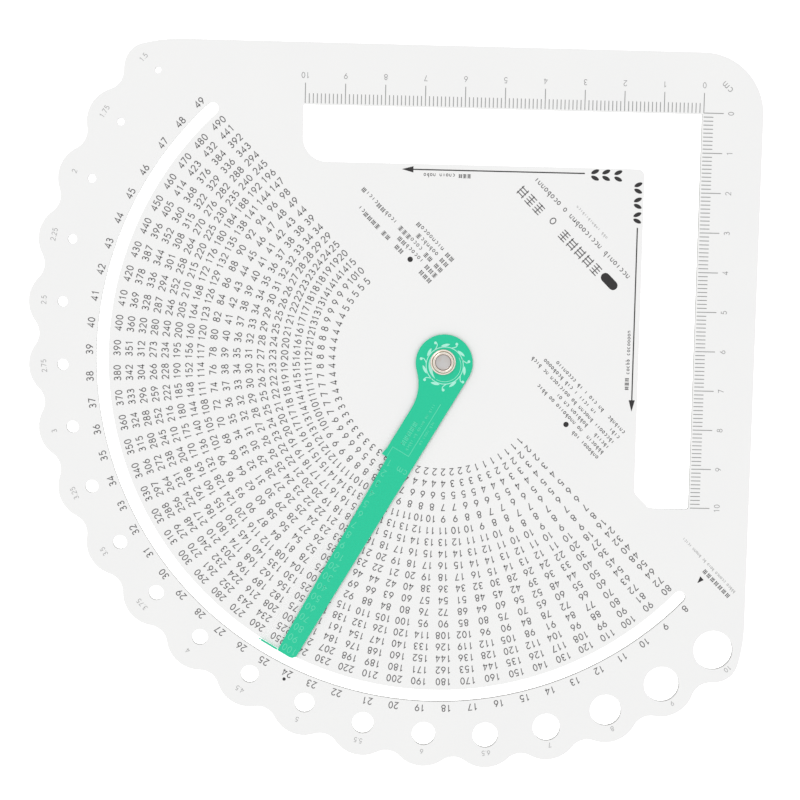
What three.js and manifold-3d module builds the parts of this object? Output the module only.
// A knitting gauge plate with a turning dial cursor, in millimetres, +Z up.
//
// A flat square plate has an L-shaped counting window, a ring of needle-gauge holes along a scalloped
// edge, and an arc slot round a pivot. A folded strip of clear film turns on a rivet at the pivot. One
// leaf lies over the plate and one under it, and the fold that joins them runs in the slot.
//
// While it is drawn, the plate's datum is the zero of its two rulers, beside the window's outer corner.
// The rulers run from there along -X and -Y, the plate's underside is at z = 0, and the whole model is
// moved at the end so that its origin is the centre of its footprint, at its lowest point.

import * as THREE from 'three';
import { mergeVertices } from 'three/addons/utils/BufferGeometryUtils.js';
import Module from 'manifold-3d';

const wasm = await Module();
wasm.setup();

// ---- driving dimensions (mm, degrees where named so) ----

const PLATE_THICKNESS = 1.0;
const RULER_LENGTH = 100;            // each ruler, and the window arm beside it
const RULER_SETBACK = 0.35;          // from the first and last ruler lines to the window's edges
const WINDOW_WIDTH = 14;             // across each arm of the window
const ROW_ARM_END_RADIUS = 6;        // inner corner at the far end of the arm along -X
const STITCH_ARM_END_CUT = 4;        // the same corner of the arm along -Y, cut off straight
const STITCH_ARM_CUT_RADIUS = 2;     // at both ends of that cut
const STITCH_ARM_OUTER_RADIUS = 0.7; // the other corner at that end
const WINDOW_ELBOW_RADIUS = 1.8;     // the plate's corner inside the elbow of the window
const RIM_WIDTH = 15.5;              // plate outside the window, and the radius of its outer corner

const PIVOT_INSET = 64;              // pivot, from the ruler zero, along X and along Y
const DIAL_WALL = 10.9;              // plate between the window's far corner and the arc slot
const SLOT_WIDTH = 3;
const SLOT_HALF_SWEEP = 91.45;       // degrees from the diagonal to the centre of a slot end

const GAUGE_SIZES = [                // needle diameters, smallest first
  1.5, 1.75, 2, 2.25, 2.5, 2.75, 3, 3.25, 3.5, 3.75, 4, 4.5, 5, 5.5, 6, 6.5, 7, 8, 9, 10,
];
const GAUGE_ROW_GAP = 6.15;          // slot's outer side to the row of gauge holes, on the diagonal
const GAUGE_CIRCLE_SHIFT = 8.9;      // from the pivot towards the plate's corner, to the row's centre
const END_HOLE_INSET = 7.9;          // from the plate's straight edge to the first and last gauge holes
const CREST_RADIUS = 8.5;            // scallop round each gauge hole
const VALLEY_RADIUS = 4.85;          // hollow between two scallops
const END_CORNER_RADIUS = 6;
const END_CORNER_TURN = 163.2;       // degrees, where the first scallop gives way to the end corner
const END_BLEND_RADIUS = 40;         // long curve from the end corner into the straight edge

const FILM_THICKNESS = 0.4;          // one leaf of the cursor
const FILM_GAP = 0.2;                // between a leaf and the plate
const HEAD_RADIUS = 7.25;
const HEAD_OFFSET = 0.35;            // the head's centre, towards the straight side
const NECK_EDGE = 0.75;              // the neck's inner side, from the line through the pivot
const NECK_LENGTH = 26;              // from the pivot to the shoulder of the reading window
const NECK_FILLET = 12;
const WINDOW_HALF_ANGLE = 2.05;      // degrees, half of the reading window's sector
const SHOULDER = 0.1;                // how far the window's side stands outside its sector
const SHOULDER_LENGTH = 1.5;
const TIP_OVERHANG = 0.4;            // how far the leaves reach over the slot's inner side
const TIP_CORNER_RADIUS = 1.5;
const FOLD_WIDTH = 4.8;              // the tongue of film that passes through the slot
const FOLD_SLIT = 0.15;              // cut on each side of the tongue
const FOLD_CLEARANCE = 0.3;          // between the tongue and the slot's inner side
const FOLD_LAP = 1;                  // flat run of the tongue that lies within each leaf
const CURSOR_ANGLE = 239.7;          // degrees, the way the cursor points at rest

const SHANK_RADIUS = 2.3;
const SHANK_WALL = 0.4;
const SHANK_CLEARANCE = 0.12;        // round the shank, in the plate and in the film
const RIVET_HEAD_OVERHANG = 0.9;     // the back head, outside the shank
const RIVET_HEAD_THICKNESS = 0.5;
const RIVET_CUP_DEPTH = 0.8;         // from the top of the rolled rim down to the cup's flat floor
const METAL_GAP = 0.1;               // between rivet or washer and what it lies on
const WASHER_BREADTH = 0.85;         // from the washer's bore to its outside
const WASHER_THICKNESS = 0.45;
const RIM_OVERHANG = 0.45;           // the rolled end, outside the shank
const RIM_HEIGHT = 0.6;
const RIM_STEPS = 8;                 // facets over the rolled rim
const RIM_SIDE_SHARE = 0.35;         // of the rim's height, upright below its round top
const EDGE_SOFTENING = 0.3;          // how far a two-facet edge bulges past its chord, as a share

const SAGITTA = 0.02;                // largest gap between a drawn chord and its true arc
const TURNED_SIDES = 48;
const SAME_POINT = 1e-4;             // points nearer than this are one
const WELD_DISTANCE = 1e-5;          // vertices nearer than this are one
const CORNER_ROOM_SHARE = 0.98;      // most of the room that an end corner may take up

// ---- helpers ----

const rad = THREE.MathUtils.degToRad;
const polar = (centre, radius, angle) =>
  new THREE.Vector2(centre.x + radius * Math.cos(angle), centre.y + radius * Math.sin(angle));
const angleTo = (from, to) => Math.atan2(to.y - from.y, to.x - from.x);

// Points along an arc from one angle to another, in radians. A fall in angle runs clockwise.
function arc(centre, radius, from, to) {
  const step = 2 * Math.acos(1 - Math.min(SAGITTA / radius, 0.5));
  const count = Math.max(2, Math.ceil(Math.abs(to - from) / step));
  const angle = (i) => from + ((to - from) * i) / count;
  return Array.from({ length: count + 1 }, (_, i) => polar(centre, radius, angle(i)));
}

const circle = (centre, radius) => arc(centre, radius, 0, 2 * Math.PI).slice(1);

// An outline through corners given as [x, y] or, where a corner is rounded, [x, y, radius].
function rounded(corners) {
  return corners.flatMap(([x, y, radius], i) => {
    const corner = new THREE.Vector2(x, y);
    if (!radius) return [corner];
    const [before, after] = [i - 1, i + 1].map((k) => {
      const [nx, ny] = corners[(k + corners.length) % corners.length];
      return new THREE.Vector2(nx, ny).sub(corner).normalize();
    });
    const half = Math.acos(before.dot(after)) / 2;
    const inward = before.clone().add(after).normalize();
    const centre = corner.clone().addScaledVector(inward, radius / Math.sin(half));
    const [from, to] = [before, after].map((side) =>
      angleTo(centre, corner.clone().addScaledVector(side, radius / Math.tan(half))));
    const sweep = to - from;
    return arc(centre, radius, from, to - 2 * Math.PI * Math.round(sweep / (2 * Math.PI)));
  });
}

// Mirrors points in the plate's diagonal, reversed so that the outline still runs the same way round.
const acrossDiagonal = (points) => points.map((p) => new THREE.Vector2(p.y, p.x)).reverse();

// Drops each point that repeats the one before it, as where two arcs meet.
function tidy(points) {
  return points.filter((p, i) => p.distanceTo(points[(i + points.length - 1) % points.length]) > SAME_POINT);
}

function extrude(outline, holes, bottom, thickness) {
  const shape = new THREE.Shape(tidy(outline));
  shape.holes = holes.map((points) => new THREE.Path(tidy(points)));
  const geometry = new THREE.ExtrudeGeometry(shape, { depth: thickness, bevelEnabled: false });
  return geometry.translate(0, 0, bottom);
}

function toSolid(geometry) {
  const plain = geometry.clone();
  plain.deleteAttribute('normal');
  plain.deleteAttribute('uv');
  const merged = mergeVertices(plain, WELD_DISTANCE);
  return new wasm.Manifold(new wasm.Mesh({
    numProp: 3,
    vertProperties: new Float32Array(merged.attributes.position.array),
    triVerts: new Uint32Array(merged.index.array),
  }));
}

function toGeometry(solid) {
  const mesh = solid.getMesh();
  const geometry = new THREE.BufferGeometry();
  geometry.setAttribute('position', new THREE.BufferAttribute(new Float32Array(mesh.vertProperties), 3));
  geometry.setIndex(new THREE.BufferAttribute(new Uint32Array(mesh.triVerts), 1));
  const flat = geometry.toNonIndexed();
  flat.computeVertexNormals();
  return flat;
}

// Turns a closed profile of [radius, height] pairs about Z. A profile that leaves the axis returns to it.
function turned(profile) {
  const points = profile.map(([r, z]) => new THREE.Vector2(r, z));
  return new THREE.LatheGeometry(points, TURNED_SIDES).rotateX(Math.PI / 2);
}

// ---- layout that several pieces share ----

const DIAGONAL = rad(225);
const windowCorner = new THREE.Vector2(-RULER_SETBACK, -RULER_SETBACK);
const armEnd = -RULER_LENGTH - RULER_SETBACK;
const armInner = windowCorner.x - WINDOW_WIDTH;
const straightEdge = windowCorner.y + RIM_WIDTH;

const pivot = new THREE.Vector2(-PIVOT_INSET, -PIVOT_INSET);
const slotInner = pivot.distanceTo(new THREE.Vector2(armEnd, windowCorner.y)) + DIAL_WALL;
const slotMiddle = slotInner + SLOT_WIDTH / 2;
const slotOuter = slotInner + SLOT_WIDTH;

const gaugeCentre = polar(pivot, GAUGE_CIRCLE_SHIFT, DIAGONAL + Math.PI);
const gaugeRadius = slotOuter + GAUGE_ROW_GAP + GAUGE_CIRCLE_SHIFT;
const firstHoleAngle = Math.PI - Math.asin((straightEdge - END_HOLE_INSET - gaugeCentre.y) / gaugeRadius);
const holePitch = (2 * (DIAGONAL - firstHoleAngle)) / (GAUGE_SIZES.length - 1);
const gaugeHoles = GAUGE_SIZES.map((diameter, i) => ({
  centre: polar(gaugeCentre, gaugeRadius, firstHoleAngle + i * holePitch),
  radius: diameter / 2,
}));

// ---- the plate ----

// The outline runs anticlockwise: outer corner, top edge, end corner, scallops, end corner, right edge.
function plateOutline() {
  const crests = gaugeHoles.map((hole) => hole.centre);
  const reach = CREST_RADIUS + VALLEY_RADIUS;
  const valleys = crests.slice(1).map((next, i) => {
    const middle = crests[i].clone().add(next).multiplyScalar(0.5);
    const outward = angleTo(gaugeCentre, middle);
    return polar(middle, Math.sqrt(reach ** 2 - middle.distanceTo(next) ** 2), outward);
  });

  // The end corner rolls inside the first scallop, and the long blend rolls round the corner and
  // inside the straight edge. The corner is no larger than the room under that edge.
  const turn = rad(END_CORNER_TURN);
  const room = (straightEdge - crests[0].y - CREST_RADIUS * Math.sin(turn)) / (1 - Math.sin(turn));
  const corner = Math.min(END_CORNER_RADIUS, CORNER_ROOM_SHARE * room);
  const cornerCentre = polar(crests[0], CREST_RADIUS - corner, turn);
  const drop = END_BLEND_RADIUS - (straightEdge - cornerCentre.y);
  const blendX = cornerCentre.x + Math.sqrt((END_BLEND_RADIUS - corner) ** 2 - drop ** 2);
  const blendCentre = new THREE.Vector2(blendX, straightEdge - END_BLEND_RADIUS);
  const blendEnd = angleTo(blendCentre, cornerCentre);
  const endCorner = [
    ...arc(blendCentre, END_BLEND_RADIUS, Math.PI / 2, blendEnd),
    ...arc(cornerCentre, corner, blendEnd, turn),
  ];

  const scallops = crests.flatMap((crest, i) => {
    const entry = i === 0 ? turn : angleTo(crest, valleys[i - 1]);
    const exit = i === crests.length - 1 ? Math.PI / 2 - turn : angleTo(crest, valleys[i]);
    const turnRound = (angle, after) => (angle < after - WELD_DISTANCE ? angle + 2 * Math.PI : angle);
    const points = arc(crest, CREST_RADIUS, entry, turnRound(exit, entry));
    if (i < valleys.length) {
      const from = angleTo(valleys[i], crest);
      const to = angleTo(valleys[i], crests[i + 1]);
      points.push(...arc(valleys[i], VALLEY_RADIUS, from, to > from ? to - 2 * Math.PI : to));
    }
    return points;
  });

  return [
    ...arc(windowCorner, RIM_WIDTH, 0, Math.PI / 2),
    ...endCorner,
    ...scallops,
    ...acrossDiagonal(endCorner),
  ];
}

// The L-shaped window, from its outer corner out along the row arm and back along the stitch arm.
function windowOutline() {
  return rounded([
    [windowCorner.x, windowCorner.y],
    [armEnd, windowCorner.y],
    [armEnd, armInner, ROW_ARM_END_RADIUS],
    [armInner, armInner, WINDOW_ELBOW_RADIUS],
    [armInner, armEnd + STITCH_ARM_END_CUT, STITCH_ARM_CUT_RADIUS],
    [armInner + STITCH_ARM_END_CUT, armEnd, STITCH_ARM_CUT_RADIUS],
    [windowCorner.x, armEnd, STITCH_ARM_OUTER_RADIUS],
  ]);
}

function slotOutline() {
  const from = DIAGONAL - rad(SLOT_HALF_SWEEP);
  const to = DIAGONAL + rad(SLOT_HALF_SWEEP);
  return [
    ...arc(pivot, slotOuter, from, to),
    ...arc(polar(pivot, slotMiddle, to), SLOT_WIDTH / 2, to, to + Math.PI),
    ...arc(pivot, slotInner, to, from),
    ...arc(polar(pivot, slotMiddle, from), SLOT_WIDTH / 2, from + Math.PI, from + 2 * Math.PI),
  ];
}

function platePiece() {
  const holes = [
    windowOutline(),
    slotOutline(),
    circle(pivot, SHANK_RADIUS + SHANK_CLEARANCE),
    ...gaugeHoles.map((hole) => circle(hole.centre, hole.radius)),
  ];
  return extrude(plateOutline(), holes, 0, PLATE_THICKNESS);
}

// ---- the cursor, drawn with the pivot at the origin and the reading window's middle along +X ----

const leafFront = PLATE_THICKNESS + FILM_GAP;
const leafBack = -FILM_GAP - FILM_THICKNESS;
const foldMiddle = PLATE_THICKNESS / 2;
const foldInside = PLATE_THICKNESS / 2 + FILM_GAP;
const foldOutside = foldInside + FILM_THICKNESS;
// The bend is widest halfway through the plate; it clears the slot's side at the plate's faces.
const foldStart = slotInner + FOLD_CLEARANCE - Math.sqrt(foldInside ** 2 - (PLATE_THICKNESS / 2) ** 2);

function leafOutline() {
  const tip = slotInner + TIP_OVERHANG;
  const straightSide = HEAD_OFFSET + HEAD_RADIUS;
  const head = new THREE.Vector2(0, HEAD_OFFSET);
  const filletY = -NECK_EDGE - NECK_FILLET;
  const filletX = Math.sqrt((HEAD_RADIUS + NECK_FILLET) ** 2 - (filletY - head.y) ** 2);
  const fillet = new THREE.Vector2(filletX, filletY);
  const tipCorner = new THREE.Vector2(tip - TIP_CORNER_RADIUS, straightSide - TIP_CORNER_RADIUS);
  const side = (x) => -SHOULDER - x * Math.tan(rad(WINDOW_HALF_ANGLE));
  const notch = FOLD_WIDTH / 2 + FOLD_SLIT;
  const shoulderEnd = NECK_LENGTH + SHOULDER_LENGTH;
  return [
    new THREE.Vector2(shoulderEnd, side(shoulderEnd)),
    new THREE.Vector2(tip, side(tip)),
    new THREE.Vector2(tip, -notch),
    new THREE.Vector2(foldStart, -notch),
    new THREE.Vector2(foldStart, notch),
    new THREE.Vector2(tip, notch),
    ...arc(tipCorner, TIP_CORNER_RADIUS, 0, Math.PI / 2),
    ...arc(head, HEAD_RADIUS, Math.PI / 2, angleTo(head, fillet) + 2 * Math.PI),
    ...arc(fillet, NECK_FILLET, angleTo(fillet, head), Math.PI / 2),
    new THREE.Vector2(NECK_LENGTH, -NECK_EDGE),
  ];
}

// The tongue: a half ring in the X-Z plane with a short flat run at each end, which joins the leaves.
function foldTongue() {
  const centre = new THREE.Vector2(foldStart, foldMiddle);
  const start = foldStart - FOLD_LAP;
  const profile = [
    new THREE.Vector2(start, leafBack),
    ...arc(centre, foldOutside, -Math.PI / 2, Math.PI / 2),
    new THREE.Vector2(start, leafFront + FILM_THICKNESS),
    new THREE.Vector2(start, leafFront),
    ...arc(centre, foldInside, Math.PI / 2, -Math.PI / 2),
    new THREE.Vector2(start, leafBack + FILM_THICKNESS),
  ];
  return extrude(profile, [], -FOLD_WIDTH / 2, FOLD_WIDTH).rotateX(Math.PI / 2);
}

function cursorPiece() {
  const eye = circle(new THREE.Vector2(0, 0), SHANK_RADIUS + SHANK_CLEARANCE);
  const front = toSolid(extrude(leafOutline(), [eye], leafFront, FILM_THICKNESS));
  const back = toSolid(extrude(leafOutline(), [eye], leafBack, FILM_THICKNESS));
  return toGeometry(front.add(back).add(toSolid(foldTongue())));
}

// ---- the rivet and its washer, drawn with the pivot as the Z axis ----

const rivetTopOfHead = leafBack - METAL_GAP;
const rivetBottom = rivetTopOfHead - RIVET_HEAD_THICKNESS;
const washerBottom = leafFront + FILM_THICKNESS + METAL_GAP;
const rimBottom = washerBottom + WASHER_THICKNESS + METAL_GAP / 2;
const washerBore = SHANK_RADIUS + METAL_GAP;

function rivetPiece() {
  const edge = RIVET_HEAD_THICKNESS / 2;
  const head = SHANK_RADIUS + RIVET_HEAD_OVERHANG;
  const bore = SHANK_RADIUS - SHANK_WALL;
  const rim = SHANK_RADIUS + RIM_OVERHANG;
  const rimMiddle = (bore + rim) / 2;
  const rimHalf = (rim - bore) / 2;
  const dome = Array.from({ length: RIM_STEPS + 1 }, (_, i) => {
    const angle = (i / RIM_STEPS) * Math.PI;
    const rise = RIM_SIDE_SHARE + (1 - RIM_SIDE_SHARE) * Math.sin(angle);
    return [rimMiddle + rimHalf * Math.cos(angle), rimBottom + RIM_HEIGHT * rise];
  });
  const cupFloor = rimBottom + RIM_HEIGHT - RIVET_CUP_DEPTH;
  return turned([
    [0, rivetBottom],
    [head - edge, rivetBottom],
    [head - EDGE_SOFTENING * edge, rivetBottom + EDGE_SOFTENING * edge],
    [head, rivetBottom + edge],
    [head, rivetTopOfHead],
    [SHANK_RADIUS, rivetTopOfHead],
    [SHANK_RADIUS, rimBottom],
    [rim, rimBottom],
    ...dome,
    [bore, cupFloor],
    [0, cupFloor],
  ]);
}

function washerPiece() {
  const outer = washerBore + WASHER_BREADTH;
  const bevel = WASHER_THICKNESS / 2;
  const washerTop = washerBottom + WASHER_THICKNESS;
  return turned([
    [washerBore, washerBottom],
    [outer, washerBottom],
    [outer, washerBottom + bevel],
    [outer - EDGE_SOFTENING * bevel, washerTop - EDGE_SOFTENING * bevel],
    [outer - bevel, washerTop],
    [washerBore, washerTop],
    [washerBore, washerBottom],
  ]);
}

// ---- the assembly ----

const plastic = new THREE.MeshStandardMaterial({ color: 0xefefef, roughness: 0.45, metalness: 0 });
const film = new THREE.MeshStandardMaterial({ color: 0x33cb9c, roughness: 0.25, metalness: 0 });
const steel = new THREE.MeshStandardMaterial({ color: 0xc9c4be, roughness: 0.25, metalness: 1 });

function named(name, geometry, material) {
  const mesh = new THREE.Mesh(geometry, material);
  mesh.name = name;
  return mesh;
}

const pivotGroup = new THREE.Group();
pivotGroup.position.set(pivot.x, pivot.y, 0);
pivotGroup.add(named('pivot_rivet', rivetPiece(), steel));
pivotGroup.add(named('rivet_washer', washerPiece(), steel));

const cursorGroup = new THREE.Group();
cursorGroup.rotation.z = rad(CURSOR_ANGLE);
cursorGroup.add(named('reading_cursor', cursorPiece(), film));
pivotGroup.add(cursorGroup);

const model = new THREE.Group();
model.add(named('gauge_plate', platePiece(), plastic));
model.add(pivotGroup);

const footprint = new THREE.Box3().setFromObject(model, true);
const middle = footprint.getCenter(new THREE.Vector3());
model.position.set(-middle.x, -middle.y, -footprint.min.z);

const root = new THREE.Group();
root.add(model);

export default root;
